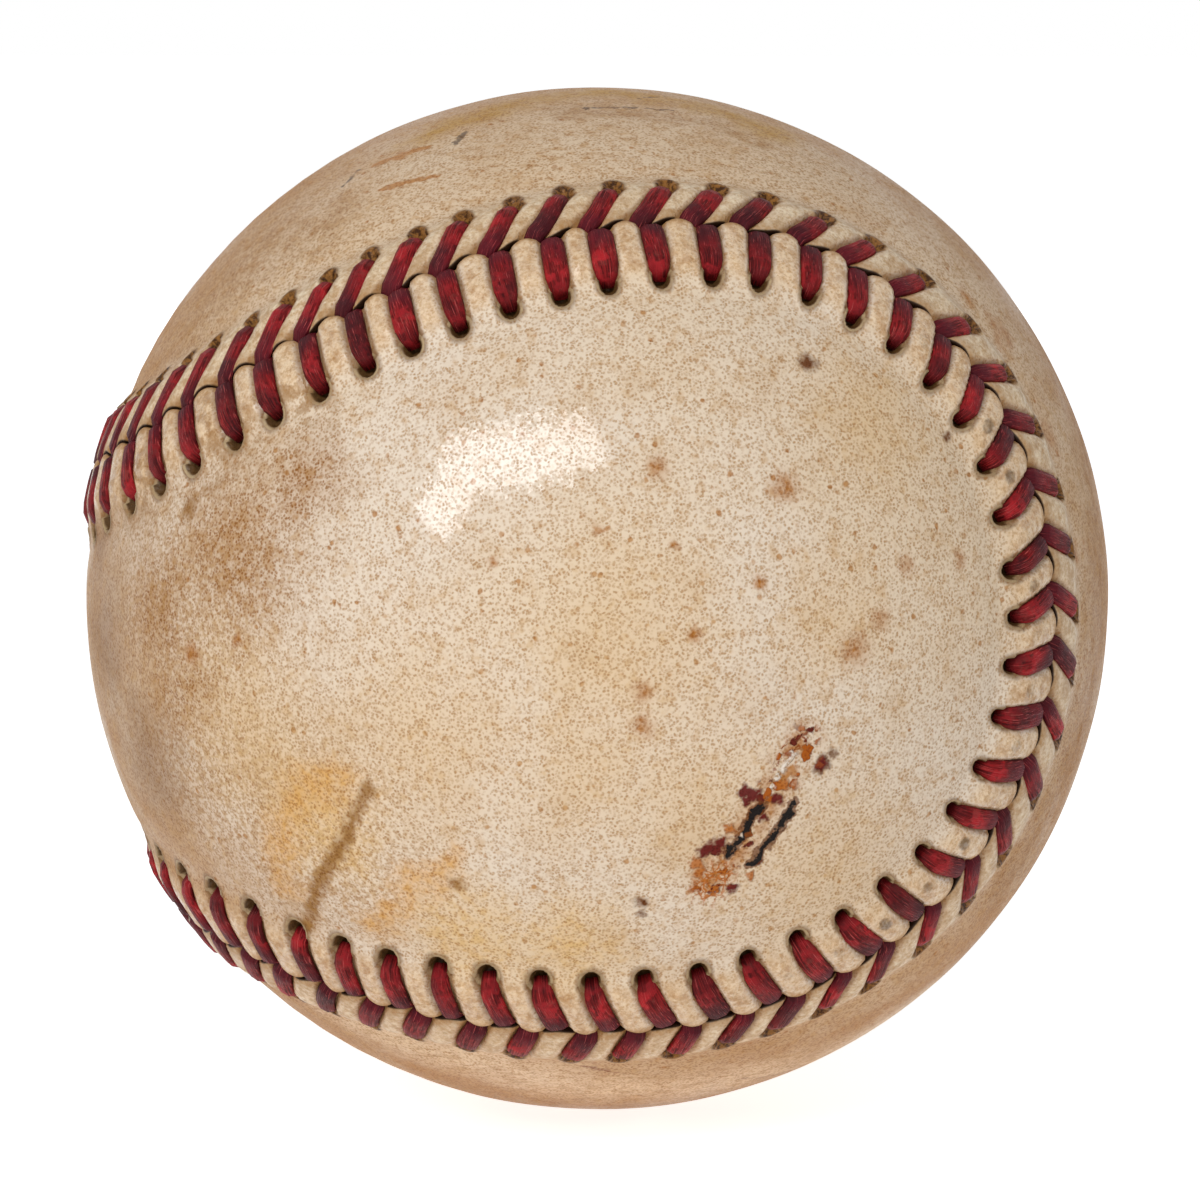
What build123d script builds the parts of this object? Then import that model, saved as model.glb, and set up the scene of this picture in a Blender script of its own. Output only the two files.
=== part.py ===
"""A baseball: cork and rubber core, four windings, two leather panels and the sewn seam that joins them.

Millimetres, +Z up, origin at the centre of the ball. The lobes of one panel face front and back, along Y,
and the lobes of the other face up and down, so the ball rests on smooth leather.
"""

import os
from math import cos, pi, radians, sin

from build123d import *

# Core, from the centre outwards
cork_diameter = 20.6
black_rubber_thickness = 3.97
gasket_thickness = 1.2
red_rubber_thickness = 2.38

# Yarn windings over the core, and the cement that holds the cover
first_winding_thickness = 14.66
second_winding_thickness = 1.73
third_winding_thickness = 2.31
finishing_winding_thickness = 0.47
cement_thickness = 0.1

# Leather cover: the welt is the swell that the stitches draw up along the seam
leather_thickness = 1.3
welt_height = 0.35
welt_margin = 0.45
channel_margin = 0.2

# Sewing: a waxed thread, through holes set back from the seam on either side
stitch_count = 108
hole_setback = 4.9
hole_diameter = 1.3
thread_diameter = 0.7
thread_clearance = 0.05

# Where a stitch dives into the seam, and where the first hole lies, as shares of the stitch spacing
dive_share = 0.27
first_hole_share = 0.78

# The seam winds once round its own axis, swinging four times towards it, in degrees
seam_swing = 69.15
seam_swing_ripple = -4.14
seam_drift = 20.4
seam_drift_ripple = -1.48
seam_lean = -10.0

# How finely the seam is drawn, and how far cutting shapes run past what they cut
seam_points = 96
seam_quarters = 4
sections_per_quarter = 12
overrun = 1.0

# Radii that follow from the sizes above
cork_radius = cork_diameter / 2
black_radius = cork_radius + black_rubber_thickness
pill_radius = black_radius + red_rubber_thickness
first_radius = pill_radius + first_winding_thickness
second_radius = first_radius + second_winding_thickness
third_radius = second_radius + third_winding_thickness
finishing_radius = third_radius + finishing_winding_thickness
cement_radius = finishing_radius + cement_thickness
ball_radius = cement_radius + leather_thickness
welt_radius = ball_radius + welt_height

# Room for the thread: half its thickness and a clearance on every side
thread_room = thread_diameter / 2 + thread_clearance
dive_spacing = 2 * thread_room + thread_clearance
welt_reach = hole_setback + hole_diameter / 2 + welt_margin
channel_reach = hole_setback + hole_diameter / 2 + channel_margin


def seam_direction(turn):
    """Unit vector from the centre to the seam, after this share of one turn round the seam's axis."""
    angle = 2 * pi * turn
    latitude = radians(seam_swing * cos(2 * angle) + seam_swing_ripple * cos(6 * angle))
    longitude = angle + radians(seam_drift * sin(4 * angle) + seam_drift_ripple * sin(8 * angle))
    level = Vector(-sin(latitude), -cos(latitude) * sin(longitude), -cos(latitude) * cos(longitude))
    return level.rotate(Axis.Y, seam_lean)


seam_line = Edge.make_spline(
    [seam_direction(point / seam_points) * ball_radius for point in range(seam_points)], periodic=True
)
stitch_pitch = seam_line.length / stitch_count

# The channel under the welt is as deep as the thread, and as a straight run bows in towards the cement
under_sag = (hole_setback**2 + stitch_pitch**2) / (8 * cement_radius)
channel_radius = cement_radius + under_sag + 2 * thread_room


def seam_plane(along):
    """Plane across the seam at a share of its length, with its origin at the centre of the ball.

    Its x axis points to the front panel and its y axis outwards.
    """
    share = along % 1
    outwards = seam_line.position_at(share).normalized()
    forwards = seam_line.tangent_at(share)
    return Plane(origin=(0, 0, 0), x_dir=outwards.cross(forwards), z_dir=forwards)


def across_seam(radius, setback):
    """Point in a seam plane at a radius from the centre, set back from the seam along the surface."""
    angle = setback / ball_radius
    return Vector(radius * sin(angle), radius * cos(angle))


def band_outline(top_radius, side_radius, foot_radius, reach):
    """Closed outline across the seam: an arc from side to side over the top, and a foot on a sphere."""
    with BuildLine() as outline:
        upper = ThreePointArc(
            across_seam(side_radius, -reach), across_seam(top_radius, 0), across_seam(side_radius, reach)
        )
        lower = ThreePointArc(
            across_seam(foot_radius, reach), across_seam(foot_radius, 0), across_seam(foot_radius, -reach)
        )
        Line(upper @ 1, lower @ 0)
        Line(lower @ 1, upper @ 0)
    return outline.edges()


def seam_band(outline):
    """The outline carried once round the seam, as one loft for each quarter."""
    quarters = []
    for quarter in range(seam_quarters):
        with BuildPart() as span:
            for section in range(sections_per_quarter + 1):
                with BuildSketch(seam_plane((quarter + section / sections_per_quarter) / seam_quarters)):
                    make_face(outline)
            loft()
        quarters.append(span.part)
    return quarters


def spherical_layer(name, inner_radius, outer_radius):
    """A closed layer between two spheres about the centre."""
    with BuildPart() as layer:
        Sphere(outer_radius)
        Sphere(inner_radius, mode=Mode.SUBTRACT)
    finish(layer.part, name)


def finish(part, name):
    """Label a piece and write it to its own file."""
    part.label = name
    export_step(part, f"parts/{name}.step")


os.makedirs("parts", exist_ok=True)

# Core: cork ball, two black half shells with the gasket between their rims, and the red layer over them
with BuildPart() as cork_core:
    Sphere(cork_radius)
finish(cork_core.part, "cork_core")

with BuildPart() as black_shell_upper:
    Sphere(black_radius)
    Sphere(cork_radius, mode=Mode.SUBTRACT)
    split(bisect_by=Plane.XY.offset(gasket_thickness / 2), keep=Keep.TOP)
finish(black_shell_upper.part, "black_shell_upper")

with BuildPart() as black_shell_lower:
    mirror(black_shell_upper.part, about=Plane.XY)
finish(black_shell_lower.part, "black_shell_lower")

with BuildPart() as shell_gasket:
    Cylinder(black_radius, gasket_thickness)
    Sphere(black_radius, mode=Mode.INTERSECT)
    Sphere(cork_radius, mode=Mode.SUBTRACT)
finish(shell_gasket.part, "shell_gasket")

spherical_layer("red_rubber_layer", black_radius, pill_radius)

# Windings, each a layer of yarn over the one before, and the cement over the last
spherical_layer("first_winding", pill_radius, first_radius)
spherical_layer("second_winding", first_radius, second_radius)
spherical_layer("third_winding", second_radius, third_radius)
spherical_layer("finishing_winding", third_radius, finishing_radius)
spherical_layer("cement_coat", finishing_radius, cement_radius)

# Cover: a leather sphere with the welt over the seam and a channel for the thread below, cut along the seam
welt_side = ball_radius - thread_clearance
welt_foot = ball_radius - leather_thickness / 2
past_cement = cement_radius - overrun
past_welt = welt_radius + overrun
welt = band_outline(welt_radius, welt_side, welt_foot, welt_reach)
channel = band_outline(channel_radius, channel_radius, past_cement, channel_reach)
kerf = band_outline(past_welt, past_welt, past_cement, thread_room)

with BuildPart() as cover:
    Sphere(ball_radius)
    Sphere(cement_radius, mode=Mode.SUBTRACT)
    add(seam_band(welt))
    add(seam_band(channel), mode=Mode.SUBTRACT)
    add(seam_band(kerf), mode=Mode.SUBTRACT)


def hole_along(stitch):
    """Share of the seam's length at which a stitch has its pair of holes."""
    return (stitch + first_hole_share) / stitch_count


def punched_panel(name, blank, side):
    """A panel with its row of holes, on the front (1) or the other (-1) side of the seam."""
    holes = []
    for stitch in range(stitch_count):
        plane = seam_plane(hole_along(stitch))
        centre = plane.from_local_coords(across_seam(ball_radius, side * hole_setback))
        holes.append(Location(Plane(origin=centre, z_dir=centre.normalized())))
    with BuildPart() as panel:
        add(blank)
        with Locations(*holes):
            Cylinder(hole_diameter / 2, 2 * (leather_thickness + welt_height), mode=Mode.SUBTRACT)
    finish(panel.part, name)


front_blank, top_blank = cover.part.solids().sort_by(Axis.X)
punched_panel("cover_panel_front", front_blank, 1)
punched_panel("cover_panel_top", top_blank, -1)

# Thread: it lies over the welt's arc, whose centre is on the seam plane's y axis
welt_edge = across_seam(welt_side, welt_reach)
welt_arc_rise = welt_radius - welt_edge.Y
welt_arc_radius = (welt_edge.X**2 + welt_arc_rise**2) / (2 * welt_arc_rise)
hole_path = hole_setback - hole_diameter / 2 + thread_room
welt_sag = hole_path**2 / (8 * welt_arc_radius)


def over_welt(setback):
    """Point in a seam plane where the thread's middle clears the welt, also on a straight run over it."""
    angle = setback / welt_arc_radius
    reach = welt_arc_radius + welt_sag + thread_room
    return Vector(reach * sin(angle), welt_radius - welt_arc_radius + reach * cos(angle))


def stitch_solid(stitch, side, dive):
    """The thread of one stitch from hole to hole, starting on the front (1) or the other (-1) side.

    It leaves its hole by the rim nearest the seam, lies over the welt, dives through the seam at a share of
    the stitch spacing, runs under the other panel and comes up in that panel's next hole.
    """
    in_hole = (ball_radius + channel_radius) / 2
    under = channel_radius - thread_room
    corners = (
        (0, across_seam(in_hole, hole_path)),
        (0, over_welt(hole_path)),
        (dive, over_welt(0)),
        (dive, across_seam(under, 0)),
        (1, across_seam(under, -hole_path)),
        (1, across_seam(in_hole, -hole_path)),
    )
    places = []
    for advance, point in corners:
        plane = seam_plane(hole_along(stitch + advance))
        places.append(plane.from_local_coords((side * point.X, point.Y)))
    with BuildPart() as leg:
        with BuildLine() as route:
            FilletPolyline(*places, radius=thread_room)
        with BuildSketch(Plane(origin=route.line @ 0, z_dir=route.line % 0)):
            Circle(thread_diameter / 2)
        sweep()
    return leg.part


# Two needles take turns: at each stitch one starts from the front panel and the other from the top panel.
# Half a turn round its axis brings the seam onto itself, so half of the stitches give the rest.
seam_axis = Axis((0, 0, 0), Vector(1, 0, 0).rotate(Axis.Y, seam_lean))
top_dive = dive_share + dive_spacing / stitch_pitch
for name, needle in (("thread_first_needle", 0), ("thread_second_needle", 1)):
    stitches = []
    for stitch in range(stitch_count // 2):
        starts_in_front = stitch % 2 == needle
        side = 1 if starts_in_front else -1
        dive = dive_share if starts_in_front else top_dive
        stitches.append(stitch_solid(stitch, side, dive))
    turned = [leg.rotate(seam_axis, 180) for leg in stitches]
    finish(Compound(stitches + turned), name)
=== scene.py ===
"""Looks of an old sewn baseball: leather panels, red stitches, wear and stains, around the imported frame."""

import bmesh
import bpy
import numpy as np
from mathutils import Matrix, Vector


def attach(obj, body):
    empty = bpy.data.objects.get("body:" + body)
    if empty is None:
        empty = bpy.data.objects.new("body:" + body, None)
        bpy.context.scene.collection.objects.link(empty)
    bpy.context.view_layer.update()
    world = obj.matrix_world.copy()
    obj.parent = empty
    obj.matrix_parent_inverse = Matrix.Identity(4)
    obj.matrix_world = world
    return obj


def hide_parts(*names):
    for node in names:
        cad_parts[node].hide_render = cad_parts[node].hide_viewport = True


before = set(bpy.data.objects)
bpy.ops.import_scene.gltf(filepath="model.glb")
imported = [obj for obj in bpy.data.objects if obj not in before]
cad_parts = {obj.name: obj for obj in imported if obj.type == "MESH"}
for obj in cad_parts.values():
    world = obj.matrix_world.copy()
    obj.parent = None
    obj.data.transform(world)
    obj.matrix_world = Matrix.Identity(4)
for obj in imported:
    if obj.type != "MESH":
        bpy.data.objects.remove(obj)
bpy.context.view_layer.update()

MM = 0.001

# The ball and its seam, in millimetres and degrees, as in the solids
BALL_RADIUS = 37.22
COVER_INSIDE = 35.94
STITCHES = 108
FIRST_HOLE = 0.78
SEAM_SWING, SEAM_SWING_RIPPLE = 69.15, -4.14
SEAM_DRIFT, SEAM_DRIFT_RIPPLE = 20.4, -1.48
SEAM_LEAN = -10.0
FRONT, TOP = 1, -1

# Sewing by hand, as the photograph shows it at these shares of the seam. The drift of the holes from even
# spacing, and the lead of a leg's seam end over its hole, are in stitches. The setback of the holes, and the
# wander of the crease towards the front panel, are in millimetres.
SHOWN = np.arange(14) * 0.03 + 0.05
DRIFT = {
    FRONT: (0.10, 0.00, -0.38, -0.57, -0.49, -0.22, 0.16, 0.12, 0.36, 0.44, 0.40, 0.22, -0.12, -0.30),
    TOP: (-0.15, -0.03, 0.05, -0.08, -0.44, -0.25, -0.07, 0.23, 0.33, 0.32, -0.08, -0.43, -0.70, -0.90),
}
LEAD = {
    FRONT: (0.10, 0.05, 0.35, 0.40, 0.34, 0.34, 0.22, 0.40, 0.30, 0.12, -0.05, -0.08, 0.02, 0.15),
    TOP: (0.50, 0.45, 0.33, 0.39, 0.58, 0.59, 0.60, 0.48, 0.50, 0.58, 0.72, 0.80, 0.82, 0.80),
}
SETBACK = {
    FRONT: (5.0, 4.4, 4.75, 4.9, 5.15, 5.1, 4.45, 4.1, 4.2, 4.15, 4.75, 4.85, 4.85, 4.65),
    TOP: (4.5, 4.6, 4.45, 4.35, 3.9, 3.7, 4.1, 3.8, 3.8, 4.1, 4.0, 4.1, 3.8, 4.0),
}
WANDER = (-0.2, -0.5, -0.3, -0.2, 0.05, 0.5, 0.0, -0.15, -0.15, -0.45, -0.15, 0.05, 0.1, -0.2)

# Photograph: size of the picture and circle of the ball in pixels, and where the camera stood, in ball radii
# and degrees
PICTURE = (1200, 1190)
BALL_CENTRE_PX = (598.1, 598.05)
BALL_RADIUS_PX = 511.0
CAMERA_DISTANCE = 9.03
CAMERA_AZIMUTH, CAMERA_ELEVATION = 8.83, 7.28
MM_PER_PX = BALL_RADIUS / BALL_RADIUS_PX


def turned_y(vectors, degrees):
    """Vectors turned about the Y axis by the right-hand rule."""
    c, s = np.cos(np.radians(degrees)), np.sin(np.radians(degrees))
    x, y, z = np.moveaxis(vectors, -1, 0)
    return np.stack((x * c + z * s, y, z * c - x * s), -1)


def unit(vectors):
    """Vectors divided by their lengths."""
    return vectors / np.linalg.norm(vectors, axis=-1, keepdims=True)


def smooth(low, high, value):
    """0 at low, 1 at high and a cubic step between, also where low is the larger."""
    t = np.clip((value - low) / (high - low), 0, 1)
    return t * t * (3 - 2 * t)


def ripple(points, seed, waves, size):
    """Unevenness of about one: a sum of plane waves of random heading, about this size in millimetres."""
    draw = np.random.default_rng(seed)
    heading = unit(draw.normal(size=(waves, 3))) * (2 * np.pi / size / draw.uniform(0.7, 1.5, (waves, 1)))
    start = draw.uniform(0, 2 * np.pi, waves)
    return np.sin(points @ heading.T + start).sum(-1) * np.sqrt(2 / waves)


def seam_direction(turn):
    """Unit vectors to the seam: its latitude swings twice in a turn about its axis, with a small ripple."""
    angle = 2 * np.pi * turn
    latitude = np.radians(SEAM_SWING * np.cos(2 * angle) + SEAM_SWING_RIPPLE * np.cos(6 * angle))
    longitude = angle + np.radians(SEAM_DRIFT * np.sin(4 * angle) + SEAM_DRIFT_RIPPLE * np.sin(8 * angle))
    reach = np.cos(latitude)
    level = np.stack((-np.sin(latitude), -reach * np.sin(longitude), -reach * np.cos(longitude)), -1)
    return turned_y(level, SEAM_LEAN)


TURNS = np.linspace(0, 1, 8193)
SEAM_STEPS = np.linalg.norm(np.diff(seam_direction(TURNS), axis=0), axis=1) * BALL_RADIUS
SEAM_RUN = np.concatenate(([0.0], np.cumsum(SEAM_STEPS)))
SEAM_LENGTH = SEAM_RUN[-1]
PITCH = SEAM_LENGTH / STITCHES


def seam_axes(along):
    """Outward and across-to-the-front unit vectors at distances along the seam, in millimetres."""
    turn = np.interp(np.mod(along, SEAM_LENGTH), SEAM_RUN, TURNS)
    step = 1e-5
    outward = seam_direction(turn)
    forward = unit(seam_direction(turn + step) - seam_direction(turn - step))
    return outward, np.cross(outward, forward)


def strays(values, along):
    """A row of shown values at distances along the seam, straight between them; the far half repeats it."""
    return np.interp(np.mod(along / SEAM_LENGTH, 0.5), SHOWN, values, period=0.5)


# Relief along the seam, in millimetres: the swell towards it, the edge rolled into the crease, the bed of a
# leg, the puffed leather between two legs, and a hole. The crease's wander dies out within its reach, and FAR
# stands for any larger distance.
SWELL_HEIGHT, SWELL_FOOT, SWELL_CREST = 0.6, 5.8, 2.6
EDGE_ROLL, ROLL_REACH = {FRONT: 0.36, TOP: 0.24}, 0.5
BED_DEPTH, PUFF_HEIGHT = 0.3, 0.15
HOLE_HALF_WIDTH, HOLE_HALF_LENGTH = {FRONT: 0.66, TOP: 0.52}, 0.8
HOLE_PIT, HOLE_RIM = {FRONT: 1.0, TOP: 0.5}, 0.08
WANDER_REACH = 7.0
FAR = 9.0

draw = np.random.default_rng(7)
EVEN_HOLES = (np.arange(STITCHES) + FIRST_HOLE) * PITCH
HOLE_ALONG, HOLE_SETBACK, LEG_LEAD, LEG_SWELL = {}, {}, {}, {}
for side in (FRONT, TOP):
    drift = strays(DRIFT[side], EVEN_HOLES) + draw.normal(0, 0.025, STITCHES)
    HOLE_ALONG[side] = EVEN_HOLES + drift * PITCH
    HOLE_SETBACK[side] = strays(SETBACK[side], EVEN_HOLES) + draw.normal(0, 0.08, STITCHES)
    lead = strays(LEAD[side], EVEN_HOLES) + draw.normal(0, 0.03, STITCHES)
    LEG_LEAD[side] = lead * PITCH
    LEG_SWELL[side] = draw.normal(1, 0.06, STITCHES)


def leg_along(side, stitch, setback):
    """Distance along the seam of a leg's middle at a setback: it leaves its hole and bends to its lead."""
    index = np.mod(stitch, STITCHES)
    turns = np.floor_divide(stitch, STITCHES) * SEAM_LENGTH
    share = np.clip(1 - setback / HOLE_SETBACK[side][index], 0, 1)
    return HOLE_ALONG[side][index] + turns + LEG_LEAD[side][index] * share ** 1.2


def crease(along):
    """How far the line between the panels strays to the front: a wander, and in and out at each stitch."""
    front = np.interp(along, HOLE_ALONG[FRONT] + LEG_LEAD[FRONT], np.arange(STITCHES), period=SEAM_LENGTH)
    return strays(WANDER, along) + 0.26 * np.cos(2 * np.pi * front)


def swell(setback):
    """Height of the leather's swell, which rises from the holes to the seam."""
    return SWELL_HEIGHT * smooth(SWELL_FOOT, SWELL_CREST, setback)


def cover_relief(along, setback, side):
    """Height of the leather over the ball in millimetres, and each point's distance from a leg and a hole.

    The swell has a shallow dip before its foot and rolls down into the crease as a quarter circle. Each leg
    presses a flat bed, the leather between two legs puffs up, and each hole is a pit with a drawn-up rim.
    """
    rise = swell(setback) - 0.08 * np.exp(-((setback - 6.0) / 1.0) ** 2)
    roll = EDGE_ROLL[side] * (1 - np.sqrt(1 - np.clip(1 - setback / ROLL_REACH, 0, 1) ** 2))
    stitch = np.floor(along / PITCH - FIRST_HOLE).astype(int)
    leg_gap = np.full(along.shape, FAR)
    hole_gap = np.full(along.shape, FAR)
    for near in range(-3, 3):
        number = stitch + near
        index = np.mod(number, STITCHES)
        turns = np.floor_divide(number, STITCHES) * SEAM_LENGTH
        beyond = setback - HOLE_SETBACK[side][index]
        off = np.abs(along - leg_along(side, number, setback)) + 3 * smooth(-0.3, 0.3, beyond)
        leg_gap = np.minimum(leg_gap, off)
        beside = (along - HOLE_ALONG[side][index] - turns) / HOLE_HALF_WIDTH[side]
        hole_gap = np.minimum(hole_gap, np.hypot(beside, beyond / HOLE_HALF_LENGTH))
    bed = smooth(1.02, 0.74, leg_gap)
    puff = smooth(0.8, 1.7, leg_gap) * smooth(5.2, 3.0, setback)
    pit = smooth(1.1, 0.5, hole_gap)
    rim = np.exp(-((hole_gap - 1.35) / 0.25) ** 2)
    height = rise - roll - BED_DEPTH * bed + PUFF_HEIGHT * puff
    height = height - HOLE_PIT[side] * pit + HOLE_RIM * rim * (1 - bed)
    return height, leg_gap, hole_gap


def unevenness(points):
    """Out-of-roundness of the whole ball and small dents, in millimetres."""
    return 0.06 * ripple(points, 3, 14, 45) + 0.012 * ripple(points, 4, 22, 9)


# Panels: columns along the seam, rows from the seam inwards to the panel's middle line
COLUMNS = STITCHES * 18
EDGE_ROWS = np.concatenate((
    (0, 0.06, 0.16, 0.3, 0.48, 0.7, 0.95), np.linspace(1.25, 3.7, 9),
    np.linspace(3.9, 6.1, 12), (6.5, 7.0, 7.6),
))
FIELD_ROWS = np.linspace(0, 1, 12)[1:] ** 0.9
INSIDE_ROWS = np.array((0.35, 3.0, 7.6))
INSIDE_FIELD = np.array((0.35, 0.7, 1.0))
SPINE_REACH = np.radians(106)
SEAM_AXIS = turned_y(np.array((1.0, 0, 0)), SEAM_LEAN)
SPINES = {
    FRONT: (-SEAM_AXIS, np.array((0, -1.0, 0))),
    TOP: (SEAM_AXIS, turned_y(np.array((0, 0, 1.0)), SEAM_LEAN)),
}


def panel_directions(side, along, rows, field):
    """Directions over a panel: rows set back from the seam, then curves that bend to the panel's middle line.

    Each curve leaves the last row square to the seam and ends on the nearest point of the middle line, a
    great arc from lobe to lobe: a quadratic Bezier of three directions, brought back onto the sphere.
    """
    outward, across = seam_axes(along)
    wander = (side * crease(along))[None, :] * smooth(WANDER_REACH, 0.0, rows)[:, None]
    angle = ((rows[:, None] + wander + 0.03) / BALL_RADIUS)[..., None]
    near = outward * np.cos(angle) + side * across * np.sin(angle)
    waist, lobe = SPINES[side]
    start = near[-1]
    lean_in = np.clip(np.arctan2(start @ lobe, start @ waist), -SPINE_REACH, SPINE_REACH)[:, None]
    end = np.cos(lean_in) * waist + np.sin(lean_in) * lobe
    gap = np.arccos(np.clip((start * end).sum(-1, keepdims=True), -1, 1))
    last = rows[-1] / BALL_RADIUS + 0.45 * gap
    middle = outward * np.cos(last) + side * across * np.sin(last)
    t = field[:, None, None]
    inner = unit((1 - t) ** 2 * start + 2 * t * (1 - t) * middle + t * t * end)
    return np.concatenate((near, inner))


def grid_faces(rows, columns, flip):
    """Quads of a grid whose columns close on themselves."""
    row, column = np.meshgrid(np.arange(rows - 1), np.arange(columns), indexing="ij")
    after = (column + 1) % columns
    here, over = row * columns, (row + 1) * columns
    quads = np.stack((here + column, here + after, over + after, over + column), -1).reshape(-1, 4)
    return quads[:, ::-1] if flip else quads


def mesh_object(name, points, quads, attributes):
    """A mesh from points in millimetres and quads, with one float per point for each named attribute."""
    mesh = bpy.data.meshes.new(name)
    mesh.from_pydata((points * MM).tolist(), [], quads.tolist())
    for key, values in attributes.items():
        layer = mesh.attributes.new(key, "FLOAT", "POINT")
        layer.data.foreach_set("value", np.ascontiguousarray(values, dtype=np.float32).ravel())
    piece = bpy.data.objects.new(name, mesh)
    bpy.context.scene.collection.objects.link(piece)
    return piece


def close_up(piece, weld):
    """Join points closer than the weld, fill open ends, turn faces outwards and shade them smooth."""
    work = bmesh.new()
    work.from_mesh(piece.data)
    bmesh.ops.remove_doubles(work, verts=work.verts, dist=weld * MM)
    bmesh.ops.holes_fill(work, edges=[edge for edge in work.edges if edge.is_boundary])
    bmesh.ops.recalc_face_normals(work, faces=work.faces)
    work.to_mesh(piece.data)
    work.free()
    piece.data.polygons.foreach_set("use_smooth", np.ones(len(piece.data.polygons), dtype=bool))


def leather_panel(name, side):
    """A panel: the worked outer face and a plain inner face, joined along the edge at the seam."""
    along = np.arange(COLUMNS) / COLUMNS * SEAM_LENGTH
    outer = panel_directions(side, along, EDGE_ROWS, FIELD_ROWS)
    inner = panel_directions(side, along, INSIDE_ROWS, INSIDE_FIELD)
    rows, under = len(EDGE_ROWS), len(inner)
    count = under + len(outer)
    band = slice(under, under + rows)
    setback = np.broadcast_to(EDGE_ROWS[:, None], (rows, COLUMNS))
    spread = np.broadcast_to(along, (rows, COLUMNS))
    height, leg_gap, hole_gap = cover_relief(spread, setback, side)
    rise = unevenness(outer * BALL_RADIUS)
    rise[:rows] += height
    points = np.concatenate((inner[::-1] * COVER_INSIDE, outer * (BALL_RADIUS + rise)[..., None]))
    gaps = {"seam_gap": setback, "leg_gap": leg_gap, "hole_gap": hole_gap}
    attributes = {key: np.full((count, COLUMNS), FAR) for key in gaps}
    for key, values in gaps.items():
        attributes[key][band] = values
    # The wall row at the seam takes the crease's painted shade
    attributes["seam_gap"][under - 1] = 0.0
    attributes["tab_mark"] = np.zeros((count, COLUMNS))
    attributes["tab_mark"][band] = tab_marks(spread, setback, side)
    piece = mesh_object(name, points.reshape(-1, 3), grid_faces(count, COLUMNS, side == TOP), attributes)
    close_up(piece, 0.004)
    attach(piece, "root")
    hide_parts(name)
    return piece


def tab_marks(along, setback, side):
    """Worn marks on one stretch of the front panel's tabs, midway between two legs: 1 in their middle."""
    if side == TOP:
        return np.zeros(along.shape)
    nearest = np.zeros(along.shape)
    stitch = np.floor(along / PITCH - FIRST_HOLE).astype(int)
    worn = np.random.default_rng(11).uniform(0.15, 1, STITCHES)
    for near in range(-2, 3):
        number = stitch + near
        index = np.mod(number, STITCHES)
        middle = (leg_along(side, number, 2.6) + leg_along(side, number + 1, 2.6)) / 2
        gap = np.hypot((along - middle) / 0.75, (setback - 2.7) / 0.85)
        seam_share = EVEN_HOLES[index] / SEAM_LENGTH
        stretch = smooth(0.13, 0.17, seam_share) * smooth(0.33, 0.29, seam_share)
        nearest = np.maximum(nearest, smooth(1.15, 0.45, gap) * worn[index] * stretch)
    return nearest


# Stitches: rings of a flattened section carried along each leg's path, from its hole to the seam
LEG_SHARES = np.array((0, 0.09, 0.2, 0.36, 0.54, 0.72, 0.86, 0.94, 1))
LEG_SECTION = np.radians((0, 30, 65, 115, 150, 180, 270))
LEG_CROWN, LEG_FOOT = 0.48, 0.2
LEG_END_HALF_WIDTH, LEG_BULGE, LEG_TAPER = 0.66, 0.15, 0.06
LEG_START = 0.5


def stitch_legs(name, needle):
    """The legs of one needle's thread, from hole to seam on the two sides in turn.

    A leg's path rises out of its hole, lies along its bed and dives into the crease. Its section is half an
    ellipse with a flat foot, broad along the leather, and narrower where the leg enters its hole.
    """
    numbers = np.arange(STITCHES)
    share = LEG_SHARES
    rings, sides = len(LEG_SHARES), len(LEG_SECTION)
    points, faces, attributes = [], [], {"leg_along": [], "leg_across": [], "leg_seed": []}
    base = 0
    for side in (FRONT, TOP):
        stitch = numbers[(numbers % 2 == needle) == (side == FRONT)]
        reach = (HOLE_SETBACK[side][stitch] - LEG_START)[:, None]
        set_in = reach * (1 - share) - 0.2 * smooth(0.86, 1, share)
        along = leg_along(side, stitch[:, None], np.maximum(set_in, 0))
        outward, across = seam_axes(along)
        stray = side * crease(along) * smooth(WANDER_REACH, 0.0, set_in)
        ridge = swell(set_in) - 0.3 * smooth(0.6, 0.0, set_in)
        lift = ridge - 0.15 - 0.9 * smooth(0.12, 0.0, share) - 0.5 * smooth(0.9, 1.0, share)
        angle = ((set_in + stray) / BALL_RADIUS)[..., None]
        up = outward * np.cos(angle) + side * across * np.sin(angle)
        path = up * (BALL_RADIUS + lift)[..., None]
        heading = unit(np.gradient(path, axis=1))
        broad = unit(np.cross(heading, up))
        crown = np.cross(broad, heading)
        width = LEG_END_HALF_WIDTH + LEG_BULGE * smooth(0, 0.25, share) - LEG_TAPER * smooth(0.7, 1, share)
        width = width * LEG_SWELL[side][stitch][:, None]
        thick = np.where(np.sin(LEG_SECTION) > 0, LEG_CROWN, LEG_FOOT) * np.sin(LEG_SECTION)
        ring = path[:, :, None] + broad[:, :, None] * (width[:, :, None] * np.cos(LEG_SECTION))[..., None]
        ring = ring + crown[:, :, None] * thick[:, None]
        shape = (len(stitch), rings, sides)
        points.append(ring.reshape(-1, 3))
        first = np.arange(len(stitch))[:, None] * rings * sides + base
        faces.append((first[..., None] + grid_faces(rings, sides, True)).reshape(-1, 4))
        attributes["leg_along"].append(np.broadcast_to(share[:, None], shape).ravel())
        attributes["leg_across"].append(np.broadcast_to(np.cos(LEG_SECTION), shape).ravel())
        seed = np.random.default_rng(21 + side).uniform(0, 1, STITCHES)[stitch]
        attributes["leg_seed"].append(np.broadcast_to(seed[:, None, None], shape).ravel())
        base += len(stitch) * rings * sides
    attributes = {key: np.concatenate(values) for key, values in attributes.items()}
    piece = mesh_object(name, np.concatenate(points), np.concatenate(faces), attributes)
    close_up(piece, 0.0001)
    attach(piece, "root")
    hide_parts(name)
    return piece


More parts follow.
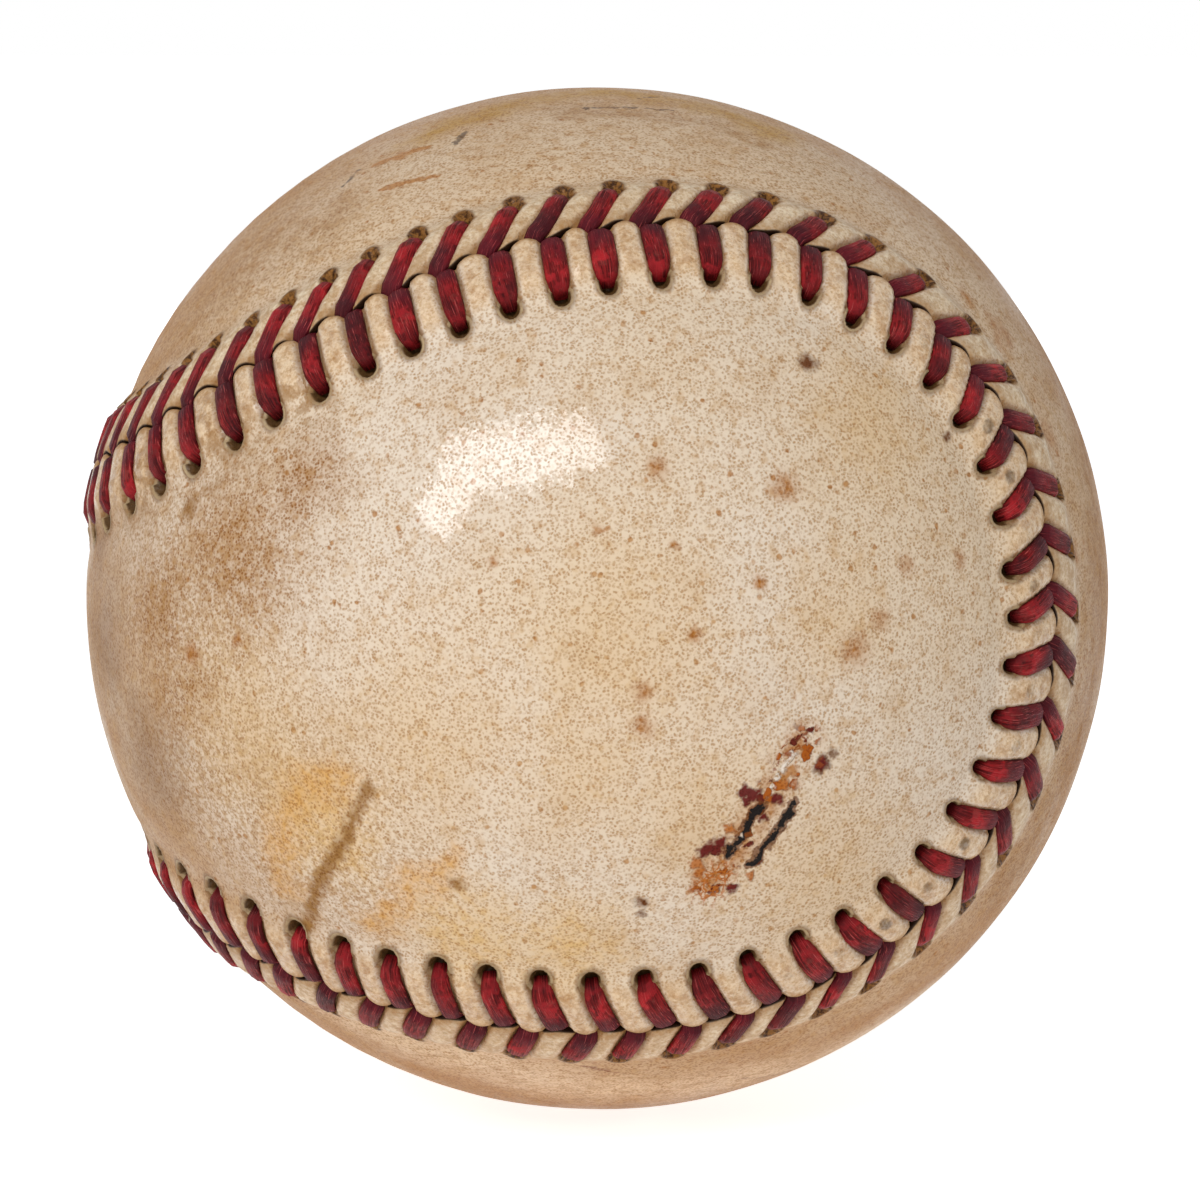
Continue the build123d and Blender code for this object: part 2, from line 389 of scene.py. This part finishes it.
class Socket:
    """A shader socket that takes part in Python sums: each operator adds one Math node."""

    def __init__(self, graph, socket):
        self.graph, self.socket = graph, socket

    def math(self, operation, *values):
        return self.graph.add("ShaderNodeMath", {"operation": operation}, dict(enumerate(values)))

    def __add__(self, other): return self.math("ADD", self, other)
    def __sub__(self, other): return self.math("SUBTRACT", self, other)
    def __rsub__(self, other): return self.math("SUBTRACT", other, self)
    def __mul__(self, other): return self.math("MULTIPLY", self, other)
    def __or__(self, other): return self.math("MAXIMUM", self, other)


class Graph:
    """The nodes of one material or world, and its own shader."""

    def __init__(self, owner):
        owner.use_nodes = True
        self.owner, self.tree = owner, owner.node_tree
        self.surface = self.tree.nodes.get("Principled BSDF") or self.tree.nodes["Background"]

    def add(self, kind, settings=None, inputs=None, output=0):
        """One node: its settings are set first, then its sockets get values or links. Returns an output."""
        node = self.tree.nodes.new(kind)
        for key, value in (settings or {}).items():
            setattr(node, key, value)
        for key, value in (inputs or {}).items():
            self.feed(node.inputs[key], value)
        return Socket(self, node.outputs[output])

    def feed(self, socket, value):
        if isinstance(value, Socket):
            self.tree.links.new(value.socket, socket)
        else:
            socket.default_value = value

    def set(self, **values):
        """Feed the shader's own sockets, with underscores for spaces."""
        for key, value in values.items():
            self.feed(self.surface.inputs[key.replace("_", " ")], value)

    def vector(self, operation, output=0, **inputs):
        keys = {"a": 0, "b": 1, "scale": "Scale"}
        sockets = {keys[key]: value for key, value in inputs.items()}
        return self.add("ShaderNodeVectorMath", {"operation": operation}, sockets, output)

    def place(self):
        """Object coordinates in millimetres."""
        spot = self.add("ShaderNodeTexCoord", output="Object")
        return self.vector("SCALE", a=spot, scale=1 / MM)

    def noise(self, place, scale, detail=3.0, rough=0.5, output=0):
        inputs = {"Vector": place, "Scale": scale, "Detail": detail, "Roughness": rough}
        return self.add("ShaderNodeTexNoise", None, inputs, output)

    def warp(self, place, scale, amount, detail=3.0):
        """Places pushed about by a noise, by up to half the amount in millimetres."""
        push = self.vector("SUBTRACT", a=self.noise(place, scale, detail, output="Color"), b=(0.5, 0.5, 0.5))
        return self.vector("ADD", a=place, b=self.vector("SCALE", a=push, scale=amount))

    def cells(self, place, scale, feature="F1", output=0):
        inputs = {"Vector": place, "Scale": scale}
        return self.add("ShaderNodeTexVoronoi", {"feature": feature}, inputs, output)

    def step(self, value, low, high, to_low=0.0, to_high=1.0):
        """Smooth step of a value from low to high, level outside them."""
        inputs = {0: value, 1: low, 2: high, 3: to_low, 4: to_high}
        return self.add("ShaderNodeMapRange", {"interpolation_type": "SMOOTHSTEP"}, inputs)

    def mix(self, factor, first, second, blend="MIX"):
        """Two colours mixed by a factor from 0 to 1."""
        settings = {"data_type": "RGBA", "blend_type": blend, "clamp_factor": True}
        return self.add("ShaderNodeMix", settings, {0: factor, 6: first, 7: second}, output=2)

    def attribute(self, name):
        return self.add("ShaderNodeAttribute", {"attribute_name": name}, output="Fac")

    def shown(self):
        """1 for what the camera sees, also in a mirror or through glass, and 0 for what lights the ball."""
        rays = ("Is Camera Ray", "Is Glossy Ray", "Is Transmission Ray")
        camera, mirror, glass = (self.add("ShaderNodeLightPath", output=ray) for ray in rays)
        return camera | mirror | glass

    def bump(self, height, distance, strength=1.0):
        inputs = {"Height": height, "Distance": distance * MM, "Strength": strength}
        return self.add("ShaderNodeBump", None, inputs)

    def spot(self, place, pixel, reach, soft=0.5):
        """1 around the point of the ball seen at a pixel, and 0 beyond a reach in pixels."""
        gap = self.vector("DISTANCE", "Value", a=place, b=seen_at(pixel))
        return self.step(gap, reach * MM_PER_PX, reach * soft * MM_PER_PX)

    def stroke(self, place, first, last, reach, soft=0.3):
        """1 along the line between the points seen at two pixels, and 0 beyond a reach in pixels."""
        start = seen_at(first)
        run = seen_at(last) - start
        off = self.vector("SUBTRACT", a=place, b=start)
        share = self.vector("DOT_PRODUCT", "Value", a=off, b=run / (run @ run))
        share = self.add("ShaderNodeClamp", None, {0: share})
        gap = self.vector("DISTANCE", "Value", a=off, b=self.vector("SCALE", a=run, scale=share))
        return self.step(gap, reach * MM_PER_PX, reach * soft * MM_PER_PX)

    def marks(self, place, spots, strokes=(), soft=0.4):
        """The largest of some spots, a pixel and a reach each, and strokes, two pixels and a reach each."""
        masks = [self.spot(place, (x, y), reach, soft) for x, y, reach in spots]
        masks += [self.stroke(place, (x, y), (u, v), reach, soft) for x, y, u, v, reach in strokes]
        total = masks[0]
        for mask in masks[1:]:
            total = total | mask
        return total


def colour(*srgb):
    """A colour given as 8-bit screen values, in the linear values that shaders take."""
    share = np.array(srgb) / 255
    linear = np.where(share <= 0.04045, share / 12.92, ((share + 0.055) / 1.055) ** 2.4)
    return (*linear.tolist(), 1.0)


def camera_axes():
    """Right, up and back unit vectors of the photograph's camera."""
    a, e = np.radians((CAMERA_AZIMUTH, CAMERA_ELEVATION))
    back = np.array((np.sin(a) * np.cos(e), -np.cos(a) * np.cos(e), np.sin(e)))
    right = np.array((np.cos(a), np.sin(a), 0))
    return right, np.cross(back, right), back


def seen_at(pixel):
    """Point on the ball, in millimetres, that the photograph shows at a pixel: the first hit of its ray."""
    right, up, back = camera_axes()
    focal = BALL_RADIUS_PX * np.sqrt(CAMERA_DISTANCE ** 2 - 1)
    ray = right * (pixel[0] - BALL_CENTRE_PX[0]) - up * (pixel[1] - BALL_CENTRE_PX[1]) - back * focal
    ray = unit(ray)
    toward = CAMERA_DISTANCE * (ray @ back)
    depth = -toward - np.sqrt(max(toward ** 2 - CAMERA_DISTANCE ** 2 + 1, 0))
    return (back * CAMERA_DISTANCE + ray * depth) * BALL_RADIUS


def leather_ground(g, place):
    """Aged cream leather: broad yellow and grey tones, blotches, freckles, and fine brown pores all over.

    Returns the colour, the pores and a fine grain.
    """
    broad = g.noise(place, 0.05, 3, 0.5)
    patch = g.noise(place, 0.2, 5, 0.6)
    grain = g.noise(place, 1.1, 3, 0.6)
    tone = g.mix(g.step(broad, 0.38, 0.66), colour(232, 216, 197), colour(229, 208, 181))
    reach = g.vector("DISTANCE", "Value", a=place, b=seen_at((640, 520))) + patch * 14
    smudge = g.noise(place, 0.11, 5, 0.62)
    # Darker and browner in a broad ring around the point seen at pixel (640, 520), at the ball's rim as the
    # camera sees it
    browner_ring = g.step(reach, 38, 57) * g.step(reach + smudge * 40, 92, 74) * g.step(smudge, 0.3, 0.55, 0.6, 0.95)
    tone = g.mix(browner_ring, tone, colour(184, 136, 80))
    tone = g.mix(g.step(reach, 58, 70) * g.step(smudge, 0.46, 0.66) * 0.7, tone, colour(186, 142, 90))
    tone = g.mix(g.step(patch, 0.5, 0.74) * 0.3, tone, colour(196, 160, 118))
    tone = g.mix(g.step(grain, 0.5, 0.7) * 0.5, tone, colour(202, 162, 112))
    strewn = g.warp(place, 2.2, 0.3, 2)
    uneven = g.step(g.noise(place, 1.9, 3, 0.7), 0.3, 0.66, 0.35, 1.0)
    pores = g.step(g.cells(strewn, 4.6), 0.66, 0.2) * uneven
    freckles = g.step(g.cells(strewn, 0.8), 0.2, 0.1) * g.step(g.noise(place, 0.5, 2), 0.4, 0.6)
    tone = g.mix(freckles * 0.8, tone, colour(180, 122, 56))
    return tone, pores, grain


def seam_wear_and_shade(g, place, tone, top):
    """Pale rubbed tabs, brown dirt beside the thread and in the crease with a near-black line of painted
    shade at its bottom, and holes with painted shade and dirt in their pits and worn rims.
    """
    seam, leg, hole = g.attribute("seam_gap"), g.attribute("leg_gap"), g.attribute("hole_gap")
    grime = g.noise(place, 0.9, 4, 0.65)
    fuzz = g.noise(place, 2.6, 3, 0.7)
    tabs = g.step(seam, 4.9, 3.6) * g.step(leg, 0.9, 1.4)
    tone = g.mix(tabs * 0.5, tone, colour(234, 212, 178))
    tone = g.mix(g.step(fuzz, 0.5, 0.66) * tabs * 0.5, tone, colour(246, 232, 206))
    tone = g.mix(g.step(fuzz, 0.5, 0.36) * tabs * 0.5, tone, colour(188, 148, 98))
    tone = g.mix(g.step(grime, 0.44, 0.66) * tabs * 0.6, tone, colour(172, 128, 78))
    mark = g.attribute("tab_mark") * (grime * 1.6 + fuzz * 0.4)
    tone = g.mix(g.step(mark, 0.35, 0.95) * 0.9, tone, colour(118, 92, 54))
    if not top:
        tone = g.mix(tabs * 0.9, tone, colour(250, 238, 225), "MULTIPLY")
    beside = g.step(leg + grime * 0.5, 1.45, 1.05) * 0.75
    tone = g.mix(beside, tone, colour(148, 104, 58))
    fold = g.step(seam + grime * 0.8, 1.7, 0.5) if top else g.step(seam + grime * 0.4, 0.9, 0.25)
    tone = g.mix(fold * (0.5 if top else 0.7), tone, colour(162, 114, 60))
    # Painted shade with some dirt: a near-black line at the bottom of the crease between the panels
    tone = g.mix(g.step(seam, 0.16, 0.03), tone, colour(42, 24, 12))
    tone = g.mix(g.step(hole + grime * 0.8, 2.3, 1.6) * 0.8, tone, colour(118, 82, 44))
    if top:
        crumbs = g.mix(g.step(fuzz, 0.38, 0.62), colour(66, 38, 16), colour(152, 104, 52))
        return g.mix(g.step(hole + fuzz * 0.8, 1.9, 1.5), tone, crumbs)
    soil = g.marks(g.warp(place, 0.3, 6.0, 5), [(140, 480, 90), (225, 430, 90), (310, 390, 70)], soft=0.0)
    tone = g.mix(soil * g.step(grime, 0.4, 0.6) * 0.75, tone, colour(156, 114, 66))
    rim = g.step(hole, 1.42, 1.32) * g.step(grime, 0.35, 0.65, 0.8, 0.15)
    tone = g.mix(rim, tone, colour(190, 166, 128))
    # Painted shade with dirt: the pit of each hole dark brown to near black
    depth = g.mix(fuzz, colour(34, 22, 12), colour(118, 84, 46))
    return g.mix(g.step(hole + grime * 0.3, 1.3, 1.1), tone, depth)


def front_marks(g, place, tone, pores):
    """Stains, spots, the crusty scab and painted shade at the left rim of the panel facing the camera, each
    put where seen.
    """
    loose = g.warp(place, 0.3, 6.0, 5)
    tight = g.warp(place, 1.5, 1.2, 3)
    mottle = g.step(g.noise(place, 1.1, 5, 0.7), 0.34, 0.66)
    dirt = g.marks(loose, [(235, 545, 140), (160, 610, 100), (185, 690, 90), (300, 480, 80)], soft=0.0)
    tone = g.mix(dirt * (mottle * 0.45 + pores * 0.4 + 0.35), tone, colour(168, 120, 68))
    pebbles = g.step(g.cells(g.warp(place, 2.0, 0.3, 2), 2.6), 0.4, 0.75)
    coarse = g.marks(loose, [(190, 600, 220), (300, 830, 210), (200, 760, 200)], soft=0.2)
    tone = g.mix(coarse * pebbles * 0.6, tone, colour(182, 138, 86))
    # Painted shade: darker along the ball's left rim as the camera sees it
    shade = g.marks(loose, [(105, 640, 110), (150, 760, 110), (100, 550, 70)], soft=0.0)
    tone = g.mix(shade * 0.55, tone, colour(140, 104, 70))
    faint = g.marks(loose, [
        (640, 660, 150), (700, 800, 130), (870, 410, 110), (590, 770, 140),
        (830, 620, 100), (420, 740, 170), (820, 880, 180), (250, 730, 150),
    ], soft=0.0)
    tone = g.mix(faint * 0.5, tone, colour(220, 184, 132))
    yellow = g.marks(loose, [(322, 828, 90), (470, 935, 100), (570, 945, 90)], soft=0.1)
    tone = g.mix(yellow * (mottle * 0.3 + 0.4), tone, colour(226, 186, 120))
    orange = g.marks(loose, [(452, 852, 30)], [
        (335, 778, 292, 800, 40), (292, 800, 278, 850, 40), (278, 850, 290, 890, 34),
        (372, 930, 402, 896, 36), (402, 896, 446, 862, 34),
    ], soft=0.0)
    tone = g.mix(orange * (mottle * 0.4 + 0.35), tone, colour(218, 162, 82))
    line = g.marks(tight, [(458, 885, 13), (190, 508, 20)], [
        (368, 788, 342, 845, 12), (342, 845, 318, 885, 15), (318, 885, 306, 930, 12),
    ], soft=0.1)
    tone = g.mix(line * (mottle * 0.25 + 0.8), tone, colour(158, 114, 60))
    spots = g.marks(tight, [
        (808, 363, 14), (641, 903, 11), (642, 914, 8), (824, 762, 12),
        (834, 753, 9), (818, 770, 8), (947, 435, 9),
    ], soft=0.1)
    tone = g.mix(spots * (mottle * 0.6 + 0.6), tone, colour(108, 62, 26))
    spots = g.marks(tight, [
        (783, 487, 24), (657, 467, 16), (855, 650, 24), (642, 692, 16), (642, 725, 17),
        (760, 583, 12), (695, 635, 12), (597, 530, 9), (492, 562, 8), (675, 545, 8),
        (192, 653, 16), (237, 642, 12), (960, 560, 13), (905, 565, 15), (880, 620, 15),
    ], soft=0.0)
    tone = g.mix(spots * (mottle * 0.6 + 0.5), tone, colour(176, 116, 54))
    return scab(g, tight, tone)


def scab(g, place, tone):
    """A crusted rust mark: haze, crumbs of orange and maroon, black streaks, white flecks and rust veins.

    Returns the colour, and the crust's height from 0 to 1.
    """
    haze = g.stroke(place, (708, 880), (803, 742), 28, 0.1)
    tone = g.mix(haze * g.step(g.noise(place, 1.0, 4), 0.32, 0.62), tone, colour(182, 122, 62))
    crumb = g.cells(place, 1.25)
    kind = g.add("ShaderNodeSeparateColor", None, {0: g.cells(place, 1.25, output="Color")})
    crumbs = g.step(crumb, 0.5, 0.36) * g.step(haze, 0.25, 0.6) * g.step(kind, 0.32, 0.38)
    tone = g.mix(crumbs, tone, g.mix(g.step(kind, 0.66, 0.74), colour(170, 88, 22), colour(104, 36, 22)))
    blobs = g.marks(place, [(822, 765, 9), (776, 800, 8), (765, 817, 7), (732, 888, 8), (757, 862, 7)],
                    [(704, 851, 721, 843, 10), (744, 792, 753, 795, 9), (748, 795, 747, 803, 6)])
    tone = g.mix(blobs, tone, colour(104, 30, 24))
    orange = g.marks(place, [(697, 863, 9), (730, 828, 7), (783, 785, 7), (748, 877, 6), (700, 872, 8)])
    tone = g.mix(orange * 0.9, tone, colour(184, 106, 36))
    veined = g.marks(place, [(709, 888, 24), (720, 875, 22)])
    veins = g.step(g.cells(place, 1.5, "DISTANCE_TO_EDGE"), 0.13, 0.06) * veined
    tone = g.mix(veins * 0.9, tone, colour(184, 104, 34))
    streak = g.marks(place, [], [(760, 806, 729, 853, 11), (795, 804, 751, 864, 11)], soft=0.0)
    tone = g.mix(g.step(streak, 0.25, 0.5) * 0.8, tone, colour(112, 62, 26))
    black = g.step(streak + g.noise(place, 2.4, 3) * 0.8, 1.05, 1.25)
    tone = g.mix(black, tone, colour(24, 18, 16))
    red = g.marks(place, [(822, 763, 6)], [(806, 737, 776, 771, 5)])
    red = red * g.step(g.noise(place, 2.0, 2), 0.4, 0.55)
    tone = g.mix(red * 0.9, tone, colour(138, 64, 30))
    white = g.marks(place, [(777, 778, 5), (773, 787, 3.5), (740, 835, 3.5)], [(793, 753, 783, 772, 4)])
    tone = g.mix(white * 0.9, tone, colour(238, 226, 212))
    return tone, crumbs | blobs | orange | black | white


def top_marks(g, place, tone):
    """Streaks and stains on the other panel, over the top, at the right and below; darker, browner bands on
    its top and right rims as seen, and painted bounce light on its bottom rim.
    """
    tone = g.mix(0.8, tone, colour(248, 236, 218), "MULTIPLY")
    loose = g.warp(place, 0.3, 6.0, 5)
    tight = g.warp(place, 1.3, 1.2, 3)
    mottle = g.step(g.noise(place, 0.8, 5, 0.65), 0.36, 0.66)
    brown = g.marks(loose, [
        (250, 260, 120), (190, 330, 100), (320, 225, 90),
    ], [(560, 112, 760, 140, 30)], soft=0.0)
    tone = g.mix(brown * (mottle * 0.5 + 0.25), tone, colour(174, 130, 80))
    rust = g.marks(loose, [
        (905, 280, 26), (965, 300, 24), (1048, 436, 28), (1000, 330, 28), (1075, 560, 24),
    ], soft=0.0)
    tone = g.mix(rust * (mottle * 0.6 + 0.5), tone, colour(176, 116, 52))
    orange = g.marks(tight, [(402, 156, 14)], [(376, 165, 426, 148, 7), (440, 175, 380, 190, 5)])
    tone = g.mix(orange * 0.9, tone, colour(186, 128, 66))
    # Darker and browner along the top rim as the camera sees it
    rim = g.marks(loose, [], [(430, 135, 600, 92, 44), (600, 92, 770, 130, 44)], soft=0.0)
    tone = g.mix(rim * 0.8, tone, colour(192, 146, 60))
    # Darker and browner along the right rim as the camera sees it
    side = g.marks(loose, [], [
        (1050, 330, 1098, 540, 80), (1098, 540, 1080, 740, 80), (1080, 740, 1010, 880, 60),
    ], soft=0.0)
    tone = g.mix(side * (mottle * 0.4 + 0.4), tone, colour(162, 110, 42))
    dark = g.marks(tight, [], [
        (344, 186, 358, 171, 5), (455, 144, 466, 132, 5), (585, 108, 672, 110, 3.5), (640, 98, 664, 96, 3),
    ])
    tone = g.mix(dark * 0.75, tone, colour(70, 48, 32))
    streaks = g.noise(g.vector("MULTIPLY", a=place, b=(0.5, 0.5, 2.4)), 1.6, 4, 0.6)
    tone = g.mix(g.step(streaks, 0.48, 0.7) * 0.5, tone, colour(188, 144, 94))
    # Painted light: paler along the bottom rim as the camera sees it, for light thrown up from the floor
    painted_floor_bounce = g.marks(loose, [], [
        (330, 1005, 480, 1065, 90), (480, 1065, 700, 1088, 90), (700, 1088, 900, 1015, 90),
    ], soft=0.0)
    tone = g.mix(painted_floor_bounce * g.step(streaks, 0.66, 0.44, 0.4, 0.9), tone, colour(240, 212, 178))
    red = g.marks(tight, [], [(582, 1068, 626, 1074, 4), (742, 1079, 792, 1070, 4)])
    return g.mix(red * 0.5, tone, colour(138, 74, 44))


def leather_material(name, side):
    """Leather of one panel: ground, marks, seam wear and painted shade at the seam, pores and grain in
    relief, and a handled gloss.
    """
    g = Graph(bpy.data.materials.new(name))
    place = g.place()
    tone, pores, grain = leather_ground(g, place)
    height = grain * 0.4 - pores * 0.7
    if side == FRONT:
        tone, crust = front_marks(g, place, tone, pores)
        height = height + crust * 3.0
    else:
        tone = top_marks(g, place, tone)
    tone = g.mix(pores * 0.8, tone, colour(196, 160, 112), "MULTIPLY")
    tone = seam_wear_and_shade(g, place, tone, side == TOP)
    seam = g.attribute("seam_gap")
    tabs = g.step(seam, 4.6, 3.2) * g.step(seam, 0.4, 0.9) * g.step(g.attribute("hole_gap"), 1.3, 1.7)
    gloss = g.step(g.noise(place, 0.12, 3), 0.45, 0.65, 0.0, 0.18)
    gloss = gloss | tabs * g.step(g.noise(place, 1.5, 3), 0.4, 0.6, 0.2, 1.0 if side == FRONT else 0.3)
    if side == FRONT:
        polish = g.marks(place, [], [
            (436, 516, 470, 464, 40), (470, 464, 560, 446, 54), (560, 446, 610, 438, 46),
        ], soft=0.0)
        polish = g.step(polish, 0.0, 0.2) * g.step(polish + g.noise(place, 2.6, 4, 0.7) * 3.0, 1.75, 2.2)
        gloss = gloss * g.step(g.marks(place, [(500, 470, 230)], soft=0.6), 1.0, 0.0) | polish
    gloss = gloss * (1 - pores * 0.8)
    g.set(Base_Color=tone, Roughness=g.step(grain, 0.3, 0.8, 0.45, 0.6), Specular_IOR_Level=0.1)
    g.set(Coat_Weight=gloss, Coat_Roughness=0.1, Coat_IOR=1.7, Normal=g.bump(height, 0.05, 0.8))
    return g.owner


def thread_material():
    """Waxed crimson thread: fibres along the leg, rubbed bright in places, painted glints on some fibres, and
    dark with dirt at both ends.
    """
    g = Graph(bpy.data.materials.new("waxed_thread"))
    place = g.place()
    along, across, seed = g.attribute("leg_along"), g.attribute("leg_across"), g.attribute("leg_seed")
    parts = {0: along * 1.6 + seed * 40, 1: across * 4.5 + along * 1.6, 2: seed * 20}
    strand = g.add("ShaderNodeCombineXYZ", None, parts)
    fibre = g.noise(strand, 1.6, 4, 0.6)
    dirt = g.noise(place, 0.55, 4, 0.6)
    ends = g.step(along, 0.3, 0.05) | g.step(along, 0.7, 1.0)
    base = g.mix(g.step(fibre, 0.36, 0.66), colour(78, 9, 12), colour(160, 34, 36))
    bright = g.step(g.noise(place, 1.1, 2), 0.45, 0.6) * g.step(along, 0.8, 0.4, 0.4, 0.9)
    base = g.mix(bright, base, colour(188, 40, 46))
    base = g.mix(g.step(g.noise(place, 0.8, 4, 0.7), 0.54, 0.68) * 0.35, base, colour(132, 74, 66))
    base = g.mix(g.step(along + dirt * 0.7, 0.75, 1.2) * 0.75, base, colour(82, 22, 36))
    soot = g.step(dirt + seed * 0.22, 0.5, 0.78) * 0.75 | ends * g.step(dirt, 0.3, 0.6) * 0.6
    base = g.mix(soot, base, colour(52, 18, 22))
    # Painted highlight: pale glints on some fibres
    base = g.mix(g.step(g.noise(strand, 3.2, 3), 0.6, 0.7) * 0.6, base, colour(210, 100, 96))
    g.set(Base_Color=base, Roughness=g.step(fibre, 0.3, 0.8, 0.55, 0.35), Specular_IOR_Level=0.1)
    g.set(Normal=g.bump(fibre, 0.16, 1.0))
    return g.owner


def grain_material(name, first, second, scale, rough):
    """Two tones of one colour in a fine grain, for the pieces inside the ball."""
    g = Graph(bpy.data.materials.new(name))
    grain = g.noise(g.place(), scale, 5, 0.6)
    g.set(Base_Color=g.mix(g.step(grain, 0.35, 0.65), colour(*first), colour(*second)), Roughness=rough)
    g.set(Normal=g.bump(grain, 0.15, 0.6))
    return g.owner


def dress(piece, material):
    """Give a piece its one material."""
    piece.data.materials.clear()
    piece.data.materials.append(material)


dress(leather_panel("cover_panel_front", FRONT), leather_material("front_leather", FRONT))
dress(leather_panel("cover_panel_top", TOP), leather_material("top_leather", TOP))
waxed_thread = thread_material()
dress(stitch_legs("thread_first_needle", 0), waxed_thread)
dress(stitch_legs("thread_second_needle", 1), waxed_thread)

INSIDE = {
    "cork_core": ((150, 105, 62), (96, 62, 36), 1.2, 0.8),
    "black_shell_upper": ((26, 26, 28), (40, 40, 42), 0.8, 0.5),
    "black_shell_lower": ((26, 26, 28), (40, 40, 42), 0.8, 0.5),
    "shell_gasket": ((170, 52, 44), (142, 40, 34), 0.8, 0.5),
    "red_rubber_layer": ((170, 52, 44), (142, 40, 34), 0.8, 0.5),
    "first_winding": ((120, 118, 114), (92, 90, 88), 1.0, 0.9),
    "second_winding": ((222, 216, 200), (196, 188, 170), 1.0, 0.9),
    "third_winding": ((120, 118, 114), (92, 90, 88), 1.0, 0.9),
    "finishing_winding": ((230, 226, 214), (206, 200, 186), 2.0, 0.9),
    "cement_coat": ((150, 118, 78), (120, 90, 56), 0.6, 0.5),
}
for node, (first, second, scale, rough) in INSIDE.items():
    dress(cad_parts[node], grain_material(node + "_finish", first, second, scale, rough))


def softbox(name, toward, distance, size, power, roll=0.0, mirrored=True):
    """An area lamp that faces the ball from a direction in the camera's axes, with or without reflection."""
    right, up, back = camera_axes()
    away = unit(right * toward[0] + up * toward[1] + back * toward[2])
    level = right * np.cos(np.radians(roll)) + up * np.sin(np.radians(roll))
    level = unit(level - away * (level @ away))
    lamp = bpy.data.lights.new(name, "AREA")
    lamp.shape = "RECTANGLE"
    lamp.size, lamp.size_y = size
    lamp.energy = power
    box = bpy.data.objects.new(name, lamp)
    pose = Matrix((Vector(level), Vector(np.cross(away, level)), Vector(away))).transposed().to_4x4()
    pose.translation = Vector(away * distance)
    box.matrix_world = pose
    box.visible_glossy = mirrored
    bpy.context.scene.collection.objects.link(box)


def white_floor():
    """A pale floor that the ball stands on, which glows softly as a light table does.

    What the camera sees of it is raised to white outside the shadow.
    """
    half, level = 8.0, -(BALL_RADIUS + 0.07) * MM
    corners = [(-half, -half, level), (half, -half, level), (half, half, level), (-half, half, level)]
    mesh = bpy.data.meshes.new("floor")
    mesh.from_pydata(corners, [], [(0, 1, 2, 3)])
    floor = bpy.data.objects.new("floor", mesh)
    bpy.context.scene.collection.objects.link(floor)
    g = Graph(bpy.data.materials.new("white_floor"))
    g.set(Base_Color=(0.9, 0.9, 0.9, 1), Roughness=0.9, Specular_IOR_Level=0.0)
    soft = g.add("ShaderNodeEmission", None, {"Strength": 0.3})
    white = g.add("ShaderNodeEmission", None, {"Strength": 0.8})
    glow = g.add("ShaderNodeMixShader", None, {0: g.shown(), 1: soft, 2: white})
    both = g.add("ShaderNodeAddShader", None, {0: Socket(g, g.surface.outputs[0]), 1: glow})
    g.feed(g.tree.nodes["Material Output"].inputs["Surface"], both)
    dress(floor, g.owner)


def white_backdrop():
    """A world that is white where it is seen, and lights the ball softly from all round."""
    g = Graph(bpy.data.worlds.new("studio"))
    g.set(Color=(1, 1, 1, 1), Strength=0.25)
    white = g.add("ShaderNodeBackground", None, {"Color": (1, 1, 1, 1), "Strength": 1.0})
    both = g.add("ShaderNodeMixShader", None, {0: g.shown(), 1: Socket(g, g.surface.outputs[0]), 2: white})
    g.feed(g.tree.nodes["World Output"].inputs["Surface"], both)
    bpy.context.scene.world = g.owner


def photograph_camera():
    """A camera at the photograph's place: the ball's circle sets its focal length and its shift."""
    right, up, back = (Vector(axis) for axis in camera_axes())
    lens = bpy.data.cameras.new("camera")
    lens.sensor_width = 36.0
    lens.sensor_fit = "HORIZONTAL"
    lens.lens = lens.sensor_width * BALL_RADIUS_PX * np.sqrt(CAMERA_DISTANCE ** 2 - 1) / PICTURE[0]
    lens.shift_x = (PICTURE[0] / 2 - BALL_CENTRE_PX[0]) / PICTURE[0]
    lens.shift_y = (BALL_CENTRE_PX[1] - PICTURE[1] / 2) / PICTURE[0]
    lens.clip_start, lens.clip_end = 0.01, 100
    camera = bpy.data.objects.new("camera", lens)
    pose = Matrix((right, up, back)).transposed().to_4x4()
    pose.translation = back * CAMERA_DISTANCE * BALL_RADIUS * MM
    camera.matrix_world = pose
    bpy.context.scene.collection.objects.link(camera)
    bpy.context.scene.camera = camera
    bpy.context.scene.view_settings.view_transform = "Standard"


white_floor()
white_backdrop()
softbox("key_softbox", (-0.33, 0.47, 0.81), 0.6, (0.44, 0.3), 1.8, roll=30)
softbox("front_fill", (0.3, 0.15, 0.9), 0.9, (0.9, 0.9), 1.3, mirrored=False)
softbox("back_fill", (-0.2, 0.3, -0.93), 0.9, (0.6, 0.5), 0.9, mirrored=False)
photograph_camera()
